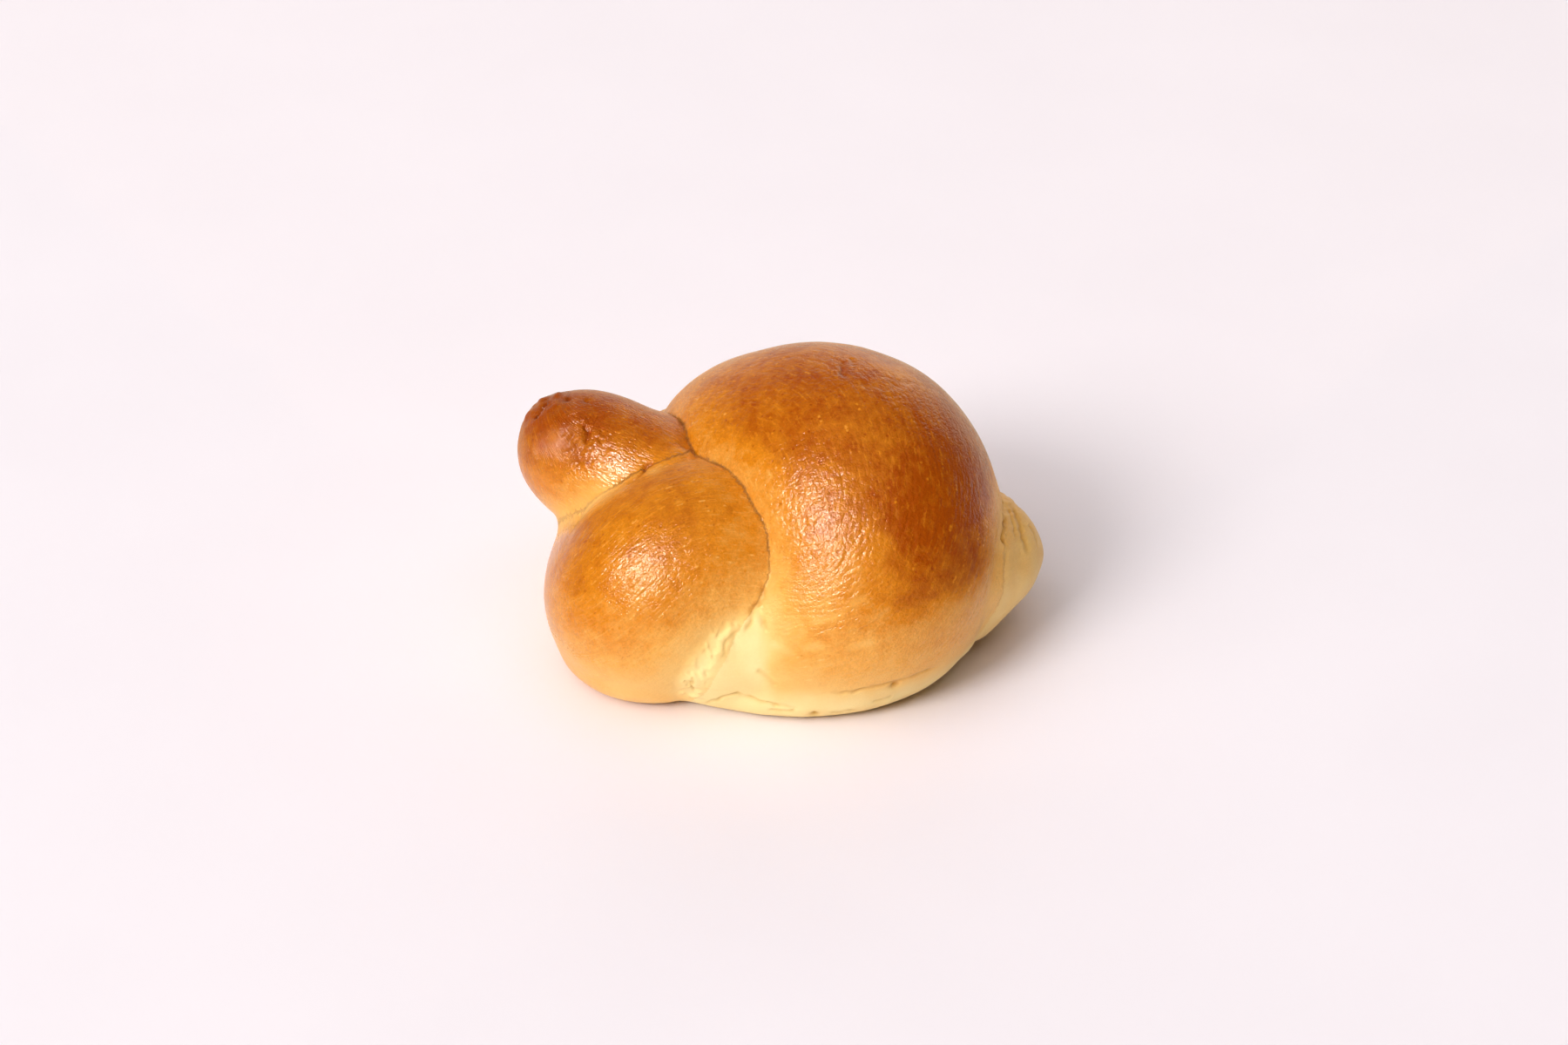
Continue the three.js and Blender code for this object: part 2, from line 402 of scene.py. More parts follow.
# Gloss: pale dough is matt, browned crust is glazed, and the glaze's coat is thickest in its pools.
GLAZED = (0.1, 0.6)  # at what browning
PALE_ROUGHNESS = 0.6
GLAZED_ROUGHNESS = 0.22
ROUGHNESS_CHANGE = 0.05
COATED = (0.3, 0.7)  # at what browning
CRUST_COAT = 0.25
POOL_COAT = 0.7
CRUST_SHADER = {
    "Coat Roughness": 0.16,
    "Sheen Weight": 0.15,
    "Sheen Roughness": 0.35,
    "Sheen Tint": (1, 0.75, 0.55, 1),
    "Specular IOR Level": 0.22,
    "Specular Tint": (1, 0.9, 0.76, 1),
}

# Camera
CAMERA_TARGET = (0.8, -2.5, 22.6)
CAMERA_ELEVATION = 35
CAMERA_DISTANCE = 775.5
CAMERA_LENS = 85
CAMERA_SENSOR = 36

# Floor and cards, in metres. The cards lie on the floor beside and behind the roll: outline and colour.
FLOOR_HALF = 3.0
FLOOR_CLOUD = 0.08
FLOOR_SHADER = {"Roughness": 0.7, "Specular IOR Level": 0.2}
# The cards are seen only in the glaze: the black ones are painted shade in its reflections, the tan one a
# painted warm sheen.
CARDS = [
    ("painted_shade_card_right", [(0.065, -0.2), (2, -0.6), (2, 0.35), (0.08, 0.03)], (0.01, 0.01, 0.01)),
    ("painted_shade_card_left", [(-0.12, -0.15), (-0.12, 0.1), (-2, 0.5), (-2, -0.5)], (0.01, 0.01, 0.01)),
    ("painted_sheen_card_behind", [(-0.1, 0.06), (0.08, 0.03), (0.5, 0.5), (-0.4, 0.5)], (0.95, 0.7, 0.48)),
]
CARD_HEIGHT = 0.0002
CARD_CLOUD = 0.02
CARD_DARKER = 0.95

# Light
WHITE = (1, 1, 1)
WARM_WHITE = (1, 0.82, 0.64)
BACKDROP_BRIGHTNESS = 1.34
BACKDROP = (0, 0.996, 0.087)  # the way to its brightest part
BACKDROP_EDGE = (0.6, 0.97)  # cosines of the angle from there, from dark to full

# Softboxes: the way there from the roll, half the angle filled in degrees, brightness, colour, distance.
Softbox = namedtuple("Softbox", "name towards half_angle brightness colour distance", defaults=(WHITE, 6.0))
KEY_SOFTBOXES = [
    Softbox("softbox_front_left", (-0.60, -0.55, 0.58), 12, 0.53),
    Softbox("softbox_left", (-0.63, -0.37, 0.68), 21, 0.205),
    Softbox("softbox_top", (0, 0, 1), 35, 0.5),
]
CRUST_SOFTBOX = Softbox("softbox_by_the_camera", (0, -0.85, 0.53), 30, 0.43)
FLOOR_SOFTBOX = Softbox("softbox_over_the_floor", (-0.6, -0.2, 0.77), 28, 0.27, distance=9.0)
MIRRORED_SOFTBOXES = [
    Softbox("glint", (-0.44, -0.61, 0.66), 9, 1.1),
    Softbox("sheen_from_the_right", (0.35, 0.92, 0.2), 20, 0.20, WARM_WHITE),
    Softbox("sheen_from_the_left", (-0.3, 0.93, 0.2), 20, 0.07, WARM_WHITE),
]

Balls = namedtuple("Balls", "centre radius station stretch length tangent side lift")
Skin = namedtuple("Skin", "gap out near other apart rounding")


def ramp(value, start, end):
    """0 up to start, 1 from end on, and a smooth rise between them. start may be above end."""
    t = np.clip((np.asarray(value, float) - start) / (end - start), 0, 1)
    return t * t * (3 - 2 * t)


def unit(vectors):
    return vectors / np.maximum(np.linalg.norm(vectors, axis=-1, keepdims=True), 1e-9)


def distance(points, place):
    return np.linalg.norm(points - np.array(place, float), axis=1)


def bell(away, reach):
    """1 at no distance, about a third at the reach, and near 0 further out."""
    return np.exp(-(away / reach) ** 2)


# The strand's skin

def through(rows, per_span):
    """Points of a smooth curve through the rows, evenly spaced in each span, the last row included."""
    before_first = 2 * rows[0] - rows[1]
    after_last = 2 * rows[-1] - rows[-2]
    path = np.vstack([before_first, rows, after_last])
    t = (np.arange(per_span) / per_span)[:, None]
    spans = []
    for a, b, c, d in zip(path, path[1:], path[2:], path[3:]):
        square = 2 * a - 5 * b + 4 * c - d
        cube = 3 * b - a - 3 * c + d
        spans.append(0.5 * (2 * b + (c - a) * t + square * t**2 + cube * t**3))
    return np.vstack(spans + [rows[-1:]])


def untwisted_sides(tangent):
    """For each place along a curve, a direction across it that turns with the curve but doesn't twist."""
    sides = [unit(np.cross(tangent[0], (0.0, 0.0, 1.0)))]
    for t in tangent[1:]:
        sides.append(unit(sides[-1] - t * np.dot(sides[-1], t)))
    return np.array(sides)


def swept_balls():
    """The balls that sweep the strand, each with its place and a frame there, and the heart of the roll."""
    centre = through(np.array([at for _, at, _ in STATIONS], float), BALLS_PER_STATION)
    radius = through(np.array([[thick] for _, _, thick in STATIONS], float), BALLS_PER_STATION)[:, 0]
    station = np.arange(len(centre)) / BALLS_PER_STATION
    steps = np.linalg.norm(np.diff(centre, axis=0), axis=1)
    length = np.concatenate([[0], np.cumsum(steps)])
    tangent = unit(np.gradient(centre, axis=0))
    side = untwisted_sides(tangent)
    lift = np.cross(tangent, side)
    stretch = np.searchsorted(STRETCH_ENDS, station, side="right")
    return Balls(
        np.vstack([centre, HEART_AT]),
        np.append(radius, HEART_RADIUS),
        np.append(station, HEART_STATION),
        np.append(stretch, LOOP),
        np.append(length, 0),
        np.vstack([tangent, (1, 0, 0)]),
        np.vstack([side, (0, 1, 0)]),
        np.vstack([lift, (0, 0, 1)]),
    )


def is_between(stretch, other, pair):
    """Whether a crease is the one between a pair of stretches, either way round."""
    one, two = pair
    return ((stretch == one) & (other == two)) | ((stretch == two) & (other == one))


def rounding_at(points, stretch, other):
    """The width over which a crease between two stretches is rounded at each point."""
    rounding = np.full(len(points), CREASE_ROUNDING)
    for _, place, spread, more, pair in SOFT_SPOTS:
        softness = more * bell(distance(points, place), spread)
        rounding += np.where(is_between(stretch, other, pair), softness, 0)
    return rounding


def lumps_near_crease(points, station, share):
    """How far in or out the skin lies near a crease. Each station has its own lumps."""
    shift = station[:, None] * np.array(WANDER_SHIFT, float)
    return noise_near(points + shift, share, WANDER_SIZE, WANDER_SEED)


def wandered(points, balls, near, other, gap, other_gap):
    """The nearest ball and the nearest across a crease, once the skin has its lumps there, how far the
    nearest is, and how much further the other one is."""
    share = WANDER * bell(other_gap - gap, WANDER_REACH)
    gap = gap + lumps_near_crease(points, balls.station[near], share)
    other_gap = other_gap + lumps_near_crease(points, balls.station[other], share)
    turned = other_gap < gap
    near, other = np.where(turned, other, near), np.where(turned, near, other)
    return near, other, np.minimum(gap, other_gap), np.abs(other_gap - gap)


def skin_of_chunk(points, balls):
    """What skin_at gives, for a few points."""
    squares = (points**2).sum(1)[:, None] + (balls.centre**2).sum(1)[None] - 2 * points @ balls.centre.T
    gaps = np.sqrt(np.maximum(squares, 0)) - balls.radius
    rows = np.arange(len(points))
    near = gaps.argmin(1)
    gap = gaps[rows, near]
    gaps[np.abs(balls.station[None] - balls.station[near][:, None]) <= NEIGHBOUR_STATIONS] = np.inf
    other = gaps.argmin(1)
    near, other, gap, apart = wandered(points, balls, near, other, gap, gaps[rows, other])
    rounding = rounding_at(points, balls.stretch[near], balls.stretch[other])
    blend = np.maximum(0, 1 - apart / rounding)
    out_near = unit(points - balls.centre[near])
    out_other = unit(points - balls.centre[other])
    out = out_near + (out_other - out_near) * (blend / 2)[:, None]
    return Skin(gap - rounding / 4 * blend**2, out, near, other, apart, rounding)


def skin_at(points, balls):
    """For each point: how far it lies outside the strand's skin, which way is out, the nearest ball, the
    nearest that isn't its neighbour, how much further that one is (0 along a crease), and the crease's
    rounding."""
    chunks = [skin_of_chunk(points[i:i + CHUNK], balls) for i in range(0, len(points), CHUNK)]
    return Skin(*[np.concatenate(column) for column in zip(*chunks)])


def share_of_tail(balls, skin):
    """1 on the tail, 0 on the rest of the roll, and a smooth change where the tail meets it."""
    from_crease = 0.5 * ramp(skin.apart, 0, TAIL_FOOT_TURNS)
    beside_tail = np.where(balls.stretch[skin.other] == TAIL, 0.5 - from_crease, 0)
    return np.where(balls.stretch[skin.near] == TAIL, 0.5 + from_crease, beside_tail)


def foot_spread(points, balls, skin):
    """How far the foot of the roll stands out from the strand's skin."""
    to_right = ramp(points[:, 0], *FOOT_TURNS)
    spread = FOOT_SPREAD_LEFT + (FOOT_SPREAD_RIGHT - FOOT_SPREAD_LEFT) * to_right
    spread += (FOOT_SPREAD_OF_TAIL - spread) * share_of_tail(balls, skin)
    return spread * ramp(points[:, 2], FOOT_HEIGHT, 0)


def settle(points, balls):
    """Moves points on the skin of the roll: the strand's skin with its foot, and the tray's plane below."""
    down = np.array((0.0, 0.0, -1.0))
    for _ in range(SETTLE_STEPS):
        skin = skin_at(points, balls)
        above = skin.gap - foot_spread(points, balls, skin)
        below = -points[:, 2]
        blend = np.maximum(0, 1 - np.abs(above - below) / FOOT_ROUNDING)
        on_tray = np.where(above > below, blend / 2, 1 - blend / 2)[:, None]
        out = skin.out * (1 - on_tray) + down * on_tray
        gap = np.maximum(above, below) + FOOT_ROUNDING / 4 * blend**2
        points = points - out * (gap / np.maximum((out**2).sum(1), LEAST_SLOPE))[:, None]
    return points


def grain_of(points, balls, skin):
    """Coordinates that run with the strand: length along it, and two that go round it."""
    away = points - balls.centre[skin.near]
    length = balls.length[skin.near] + (away * balls.tangent[skin.near]).sum(1)
    turn = np.arctan2((away * balls.lift[skin.near]).sum(1), (away * balls.side[skin.near]).sum(1))
    return np.stack([length, GRAIN_RADIUS * np.cos(turn), GRAIN_RADIUS * np.sin(turn)], 1)


# The mesh

def fine_mesh(node):
    """A finely and evenly meshed copy of a node, as a new mesh."""
    copy = bpy.data.objects.new("fine_copy", node.data.copy())
    bpy.context.scene.collection.objects.link(copy)
    remesh = copy.modifiers.new("remesh", "REMESH")
    remesh.mode = "VOXEL"
    remesh.voxel_size = SKIN_GRID * MM
    mesh = bpy.data.meshes.new_from_object(copy.evaluated_get(bpy.context.evaluated_depsgraph_get()))
    bpy.data.objects.remove(copy)
    mesh.materials.clear()
    return mesh


def corners_of(mesh):
    flat = np.empty(3 * len(mesh.vertices), np.float32)
    mesh.vertices.foreach_get("co", flat)
    return flat.reshape(-1, 3).astype(float) / MM


def edges_of(mesh):
    flat = np.empty(2 * len(mesh.edges), np.int32)
    mesh.edges.foreach_get("vertices", flat)
    return flat.reshape(-1, 2)


def mean_of_neighbours(values, edges):
    """For each corner, the mean of what its neighbours along the edges have."""
    count = np.bincount(edges.ravel(), minlength=len(values))
    columns = []
    for column in values.T:
        total = np.bincount(edges[:, 0], column[edges[:, 1]], len(values))
        total += np.bincount(edges[:, 1], column[edges[:, 0]], len(values))
        columns.append(total / count)
    return np.array(columns).T


def place_corners(mesh, points):
    mesh.vertices.foreach_set("co", (points * MM).astype(np.float32).ravel())


def lay_on_skin(mesh, balls, passes):
    """Moves a mesh's corners on the roll's skin, evened out in a few passes, and gives their places."""
    edges = edges_of(mesh)
    points = settle(corners_of(mesh), balls)
    for _ in range(passes):
        points = settle(mean_of_neighbours(points, edges), balls)
    place_corners(mesh, points)
    return points


def split_faces(mesh, wanted):
    """Splits each face of a mesh into four where all its corners are wanted."""
    split = bmesh.new()
    split.from_mesh(mesh)
    for edge in split.edges:
        edge.tag = False
    for face in split.faces:
        if all(wanted[corner.index] for corner in face.verts):
            for edge in face.edges:
                edge.tag = True
    edges = [edge for edge in split.edges if edge.tag]
    bmesh.ops.subdivide_edges(split, edges=edges, cuts=1, use_grid_fill=True)
    split.to_mesh(mesh)
    split.free()


def has_fine_relief(points, skin):
    """Whether a point lies in a sharp crease, by a groove or bump, in a wrinkled patch or by the tear."""
    sharp = (skin.apart < FINE_BESIDE_CREASE) & (skin.rounding < FINE_ROUNDING)
    fine = sharp & (points[:, 2] > FINE_HEIGHT)
    for _, line, _, half_width in GROOVES:
        fine |= nearest_on_line(points, line)[0] < FINE_BESIDE_GROOVE + FINE_GROOVE_WIDTHS * half_width
    for _, place, radius, _ in BUMPS:
        fine |= distance(points, place) < FINE_BUMP_RADII * radius
    for _, place, reach, _, _ in WRINKLED:
        fine |= distance(points, place) < reach
    return fine | (nearest_on_line(points, TORN_LINE)[0] < FINE_TORN_REACHES * TORN_REACH)


def noise_at(points, size, seed):
    """Smooth noise from about -1 to 1, in lumps of about the given size."""
    shift = Vector([step * seed for step in NOISE_SHIFT])
    return np.array([noise.noise(Vector(p) + shift) for p in points / size])


def noise_near(points, mask, size, seed):
    """The same noise, times a mask, worked out only where the mask isn't 0."""
    inside = mask > LEAST_MASK
    value = np.zeros(len(points))
    value[inside] = noise_at(points[inside], size, seed) * mask[inside]
    return value


def layered_noise(points, layers):
    """The sum of several layers of noise: height, size and seed of each."""
    return sum(height * noise_at(points, size, seed) for height, size, seed in layers)


# Relief of the crust: each function gives how far the skin moves out at each point

def foot_lip(points):
    """A low lip round the foot."""
    on_tray = points * (1, 1, 0)
    uneven = LIP_MEAN + LIP_CHANGE * noise_at(on_tray, LIP_SIZE, LIP_SEED)
    return LIP * uneven * bell(points[:, 2] - LIP_HEIGHT, LIP_REACH)


def crease_notches(points, skin):
    """A narrow line along each crease, but none where the dough has grown together."""
    sharp = (CREASE_ROUNDING / skin.rounding) ** 2
    narrow = bell(skin.apart, NOTCH_HALF_WIDTH)
    in_notch = np.where(narrow > LEAST_MASK, 1, 0)
    uneven = NOTCH_MEAN + NOTCH_CHANGE * noise_near(points, in_notch, NOTCH_SIZE, NOTCH_SEED)
    return -NOTCH_DEPTH * sharp * narrow * np.clip(uneven, 0, 1)


def nearest_on_line(points, line):
    """How far each point is from a line of straight stretches, and how far along it the nearest place is."""
    line = np.array(line, float)
    best = np.full(len(points), np.inf)
    along = np.zeros(len(points))
    for k, (a, b) in enumerate(zip(line, line[1:])):
        t = np.clip((points - a) @ (b - a) / ((b - a) @ (b - a)), 0, 1)
        away = np.linalg.norm(points - a - t[:, None] * (b - a), axis=1)
        closer = away < best
        best = np.where(closer, away, best)
        along = np.where(closer, (k + t) / (len(line) - 1), along)
    return best, along


def wobbled(points, seed):
    """Points moved a little each way by noise."""
    moves = [noise_at(points, GROOVE_WOBBLE_SIZE, seed + axis) for axis in range(3)]
    return points + GROOVE_WOBBLE * np.stack(moves, 1)


def grooves(points):
    relief = np.zeros(len(points))
    for row, (_, line, depth, half_width) in enumerate(GROOVES):
        near = np.flatnonzero(nearest_on_line(points, line)[0] < GROOVE_REACH * half_width)
        place = points[near]
        away, along = nearest_on_line(wobbled(place, GROOVE_WOBBLE_SEED + 3 * row), line)
        taper = ramp(along, 0, GROOVE_TAPER) * ramp(along, 1, 1 - GROOVE_TAPER)
        uneven = GROOVE_MEAN + GROOVE_CHANGE * noise_at(place, GROOVE_DEPTH_SIZE, GROOVE_DEPTH_SEED + row)
        relief[near] -= depth * taper * uneven * bell(away, half_width)
    return relief


def bumps(points, table):
    relief = np.zeros(len(points))
    for _, place, radius, height in table:
        relief += height * bell(distance(points, place), radius)
    return relief


def flattened_patches(points, out):
    """Moves the skin towards the plane of each flattened patch."""
    relief = np.zeros(len(points))
    for _, place, facing, radius, share in FLATTENED:
        facing = unit(np.array(facing))
        mask = share * bell(distance(points, place), radius)
        towards = np.maximum(out @ facing, FLATTENED_SLANT)
        relief -= mask * ((points - np.array(place)) @ facing) / towards
    return np.clip(relief, *FLATTENED_LIMITS)


def wrinkled_patches(points):
    relief = np.zeros(len(points))
    for row, (_, place, reach, size, height) in enumerate(WRINKLED):
        mask = bell(distance(points, place), reach)
        relief += height * noise_near(points, mask, size, WRINKLE_SEED + row)
    return relief


def torn_band(points):
    """1 in the middle of the rags of torn dough, and 0 away from them."""
    return bell(nearest_on_line(points, TORN_LINE)[0], TORN_REACH)


def torn_rags(points):
    """Rags of dough: flat flakes with steep edges."""
    band = torn_band(points)
    inside = np.where(band > LEAST_TORN, 1, 0)
    edges = noise_near(points, inside, RAG_EDGE_SIZE, RAG_EDGE_SEED)
    flakes = noise_near(points, inside, RAG_SIZE, RAG_SEED) + RAG_EDGE_SHARE * edges
    return band * (RAG_THICKNESS * np.tanh(RAG_STEEPNESS * flakes) + RAG_LIFT)


def tail_pleats(points, stretch, grain):
    """Fine pleats along the tail."""
    mask = np.where(stretch == TAIL, ramp(points[:, 2], *PLEAT_HEIGHTS), 0)
    return PLEAT * noise_near(grain * PLEAT_STRETCH, mask, PLEAT_SIZE, PLEAT_SEED)


def relief_of(points, skin, out, stretch, grain):
    """How far the crust moves out at each point, and how much painted shade it gets there as a crack or
    crease, from 0 to 1.
    """
    marks = grooves(points) + bumps(points, BUMPS)
    notches = crease_notches(points, skin)
    relief = marks + notches + layered_noise(points, UNEVENNESS) + foot_lip(points) + bumps(points, SHAPING)
    relief += wrinkled_patches(points) + torn_rags(points) + flattened_patches(points, out)
    relief += tail_pleats(points, stretch, grain)
    # Cracks, grooves and crease notches get painted shade, fuller the deeper they are.
    painted_crack_shade = np.clip(-(marks + NOTCH_PAINTED_SHADE_SHARE * notches) / PAINTED_CRACK_SHADE_DEPTH, 0, 1)
    return relief, painted_crack_shade


# Browning

def by_height(points, profile):
    heights, values = zip(*profile)
    return np.interp(points[:, 2], heights, values)


def browning_of_stretches(points, station, stretch):
    """How brown the crust is away from the creases."""
    x, _, z = points.T
    loop = by_height(points, BROWNING[LOOP]) + LEFT_END_BROWNER * ramp(x, *LEFT_END)
    dome = by_height(points, BROWNING[DOME])
    right = ramp(x, *RIGHT_OF_DOME) * ramp(z, *RIGHT_OF_DOME_FOOT) * ramp(z, *RIGHT_OF_DOME_TOP)
    dome += RIGHT_OF_DOME_BROWNER * right
    dome *= 1 - PALE_FLANK_LOSS * ramp(x, *PALE_FLANK) * ramp(z, *PALE_FLANK_TOP)
    brown = loop + (dome - loop) * ramp(station, *LOOP_TURNS_INTO_DOME)
    for single in (TAIL, HEAD):
        brown = np.where(stretch == single, by_height(points, BROWNING[single]), brown)
    return brown


def paled_at_creases(brown, points, apart, stretch, other):
    """The browning, with the crust along the creases paler."""
    apart = np.maximum(0, apart + PALE_EDGE * noise_at(points, PALE_EDGE_SIZE, PALE_EDGE_SEED))
    for one, two, profile, width in PALE_CREASES:
        pale = by_height(points, profile)
        mixed = pale + (brown - pale) * ramp(apart, 0, width)
        brown = np.where((stretch == one) & (other == two), np.minimum(brown, mixed), brown)
    return brown


def browning_of(points, balls, skin):
    """How brown the crust is at each point: 0 is pale dough, 1 the deepest brown."""
    stretch = balls.stretch[skin.near]
    brown = browning_of_stretches(points, balls.station[skin.near], stretch)
    brown = paled_at_creases(brown, points, skin.apart, stretch, balls.stretch[skin.other])
    for _, place, reach, change in SPOTS:
        brown += change * bell(distance(points, place), reach)
    for ends in SCUFFS:
        brown -= SCUFF_PALER * bell(nearest_on_line(points, ends)[0], SCUFF_HALF_WIDTH)
    brown *= 1 - TORN_LOSS * torn_band(points)
    brown += layered_noise(points, MOTTLING)
    underside = ramp(skin.gap, *UNDERSIDE_DEPTH)
    return np.clip(brown + (UNDERSIDE_BROWNING - brown) * underside, 0, 1)


def glaze_pools(points):
    """How thick the egg glaze lies: 1 in the middle of a pool, and 0 away from the pools."""
    thickness = np.zeros(len(points))
    for _, place, reach in GLAZE_POOLS:
        thickness = np.maximum(thickness, bell(distance(points, place), reach))
    return thickness


def add_attribute(mesh, name, values):
    """Stores a number or a vector for each corner of a mesh."""
    kind = "FLOAT" if values.ndim == 1 else "FLOAT_VECTOR"
    layer = mesh.attributes.new(name, kind, "POINT")
    layer.data.foreach_set("value" if kind == "FLOAT" else "vector", values.astype(np.float32).ravel())


def crust_piece():
    """The crust: a fine copy of the roll's solid, laid on the strand's skin, with relief and browning."""
    balls = swept_balls()
    mesh = fine_mesh(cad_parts["knot_roll"])
    mesh.name = "crust"
    points = lay_on_skin(mesh, balls, RELAX_PASSES)
    split_faces(mesh, has_fine_relief(points, skin_at(points, balls)))
    points = lay_on_skin(mesh, balls, 1)
    skin = skin_at(points, balls)
    out = unit(skin.out)
    # The marks keep their places on the strand's own skin, before its foot spreads.
    spread = np.where(points[:, 2] > UNDERSIDE_HEIGHT, foot_spread(points, balls, skin), 0)
    on_strand = points - out * spread[:, None]
    grain = grain_of(on_strand, balls, skin)
    relief, painted_crack_shade = relief_of(on_strand, skin, out, balls.stretch[skin.near], grain)
    relief *= ramp(points[:, 2], *RELIEF_STARTS)
    place_corners(mesh, points + out * relief[:, None])
    add_attribute(mesh, "browning", browning_of(on_strand, balls, skin))
    # Painted shade for the cracks and creases, which the crust's colour uses.
    add_attribute(mesh, "painted_crack_shade", painted_crack_shade)
    add_attribute(mesh, "pool", glaze_pools(on_strand))
    add_attribute(mesh, "grain", grain)
    mesh.polygons.foreach_set("use_smooth", np.ones(len(mesh.polygons), bool))
    mesh.update()
    crust = bpy.data.objects.new("knot_roll_crust", mesh)
    bpy.context.scene.collection.objects.link(crust)
    return crust


# Materials

class Nodes:
    """A material's nodes, added and joined in few words."""

    def __init__(self, name):
        self.material = bpy.data.materials.new(name)
        self.material.use_nodes = True
        self.tree = self.material.node_tree
        self.shader = self.tree.nodes["Principled BSDF"]

    def add(self, kind, inputs, **settings):
        """A new node. Each input is a value, or another node's output that is joined to it."""
        node = self.tree.nodes.new(kind)
        for name, value in settings.items():
            setattr(node, name, value)
        for name, value in inputs.items():
            self.join(node, name, value)
        return node

    def join(self, node, name, value):
        if isinstance(value, bpy.types.NodeSocket):
            self.tree.links.new(value, node.inputs[name])
        else:
            node.inputs[name].default_value = value

    def set_shader(self, values):
        for name, value in values.items():
            self.join(self.shader, name, value)

    def attribute(self, name, output="Fac"):
        return self.add("ShaderNodeAttribute", {}, attribute_name=name).outputs[output]

    def place(self):
        return self.add("ShaderNodeTexCoord", {}).outputs["Object"]

    def math(self, operation, a, b):
        return self.add("ShaderNodeMath", {0: a, 1: b}, operation=operation).outputs[0]

    def weighted(self, pairs):
        """The sum of some values, each times its weight."""
        terms = [self.math("MULTIPLY", value, weight) for value, weight in pairs]
        total = terms[0]
        for term in terms[1:]:
            total = self.math("ADD", total, term)
        return total

    def range(self, value, low, high, to_low, to_high):
        inputs = {"Value": value, "From Min": low, "From Max": high, "To Min": to_low, "To Max": to_high}
        return self.add("ShaderNodeMapRange", inputs).outputs["Result"]

    def either_way(self, value, most):
        """A noise's value as a change from -most to most."""
        return self.range(value, *NOISE_SPAN, -most, most)

    def scaled(self, vector, factors):
        inputs = {0: vector, 1: factors}
        return self.add("ShaderNodeVectorMath", inputs, operation="MULTIPLY").outputs["Vector"]

    def noise(self, vector, size, detail):
        inputs = {"Vector": vector, "Scale": 1 / size, "Detail": detail, "Roughness": NOISE_ROUGHNESS}
        return self.add("ShaderNodeTexNoise", inputs).outputs["Fac"]

    def dots(self, vector, spacing, radius, share):
        """Round dots, 1 in the middle and 0 outside, in the given share of the cells of a pattern."""
        cells = self.add("ShaderNodeTexVoronoi", {"Vector": vector, "Scale": 1 / spacing})
        dot = self.range(cells.outputs["Distance"], DOT_MIDDLE * radius / spacing, radius / spacing, 1, 0)
        chance = self.add("ShaderNodeSeparateColor", {"Color": cells.outputs["Color"]}).outputs["Red"]
        chosen = self.math("LESS_THAN", chance, share)
        return self.math("MULTIPLY", dot, chosen)

    def scales(self, vector, spacing):
        """Rounded scales: 0 in the middle of each, and below 0 towards its edge."""
        cells = self.add("ShaderNodeTexVoronoi", {"Vector": vector, "Scale": 1 / spacing})
        away = cells.outputs["Distance"]
        return self.math("MULTIPLY", self.math("MULTIPLY", away, away), -1)

    def tinted(self, colour, share, tint):
        """A colour multiplied by a tint, in the given share. The node's colour sockets go by number."""
        inputs = {0: share, 6: colour, 7: (*tint, 1)}
        return self.add("ShaderNodeMix", inputs, data_type="RGBA", blend_type="MULTIPLY").outputs[2]

    def colours(self, value, stops):
        node = self.add("ShaderNodeValToRGB", {"Fac": value})
        elements = node.color_ramp.elements
        while len(elements) < len(stops):
            elements.new(0.5)
        for element, (_, at, colour) in zip(elements, stops):
            element.position = at
            element.color = (*colour, 1)
        return node.outputs["Color"]


def crust_marks(nodes):
    """The marks of the crust by name: what the mesh knows about it, and patterns made from nodes."""
    browning = nodes.attribute("browning")
    grain = nodes.attribute("grain", "Vector")
    place = nodes.scaled(nodes.place(), (1 / MM,) * 3)
    return {
        "browning": browning,
        "painted_crack_shade": nodes.attribute("painted_crack_shade"),
        "pool": nodes.attribute("pool"),
        "baked": nodes.range(browning, *BAKED, PALE_SHARE, 1),
        "mottle": nodes.noise(place, MOTTLE_SIZE, 4),
        "strokes": nodes.noise(nodes.scaled(grain, STROKE_STRETCH), STROKE_SIZE, 2),
        "pebbles": nodes.noise(place, PEBBLE_SIZE, 2),
        "fine": nodes.noise(place, FINE_SIZE, 1),
        "scales": nodes.scales(nodes.scaled(grain, SCALE_STRETCH), SCALE_SPACING),
        "specks": nodes.dots(nodes.scaled(grain, SPECK_STRETCH), **SPECKS),
        "pores": nodes.dots(place, **PORES),
    }


def crust_colour(nodes, marks):
    """Browned in mottles, with paler strokes and specks, browner pores, a lighter and darker speckle of
    painted shade from the fine relief, and painted shade in cracks and creases.
    """
    paler_strokes = nodes.range(marks["strokes"], *STROKE_SPAN, 0, STROKE_PALER)
    tone = nodes.math("SUBTRACT", nodes.either_way(marks["mottle"], MOTTLE_TONE), paler_strokes)
    tone = nodes.math("SUBTRACT", tone, nodes.math("MULTIPLY", marks["specks"], SPECK_PALER))
    tone = nodes.math("ADD", tone, nodes.math("MULTIPLY", marks["pores"], PORE_BROWNER))
    brown = nodes.math("ADD", marks["browning"], nodes.math("MULTIPLY", tone, marks["baked"]))
    colour = nodes.colours(brown, CRUST_COLOURS)
    # Painted shade of the fine relief, more on browned crust than on pale dough.
    fine = nodes.either_way(marks["fine"], FINE_PAINTED_SHADE)
    painted_relief_shade = nodes.math("ADD", fine, nodes.either_way(marks["pebbles"], PEBBLE_PAINTED_SHADE))
    painted_shade_factor = nodes.math("ADD", nodes.math("MULTIPLY", painted_relief_shade, marks["baked"]), 1)
    colour_with_painted_shade = nodes.add("ShaderNodeHueSaturation", {"Color": colour, "Value": painted_shade_factor}).outputs["Color"]
    # Painted shade in cracks and creases: their colour is darkened and turned olive.
    return nodes.tinted(colour_with_painted_shade, marks["painted_crack_shade"], PAINTED_CRACK_SHADE_TINT)


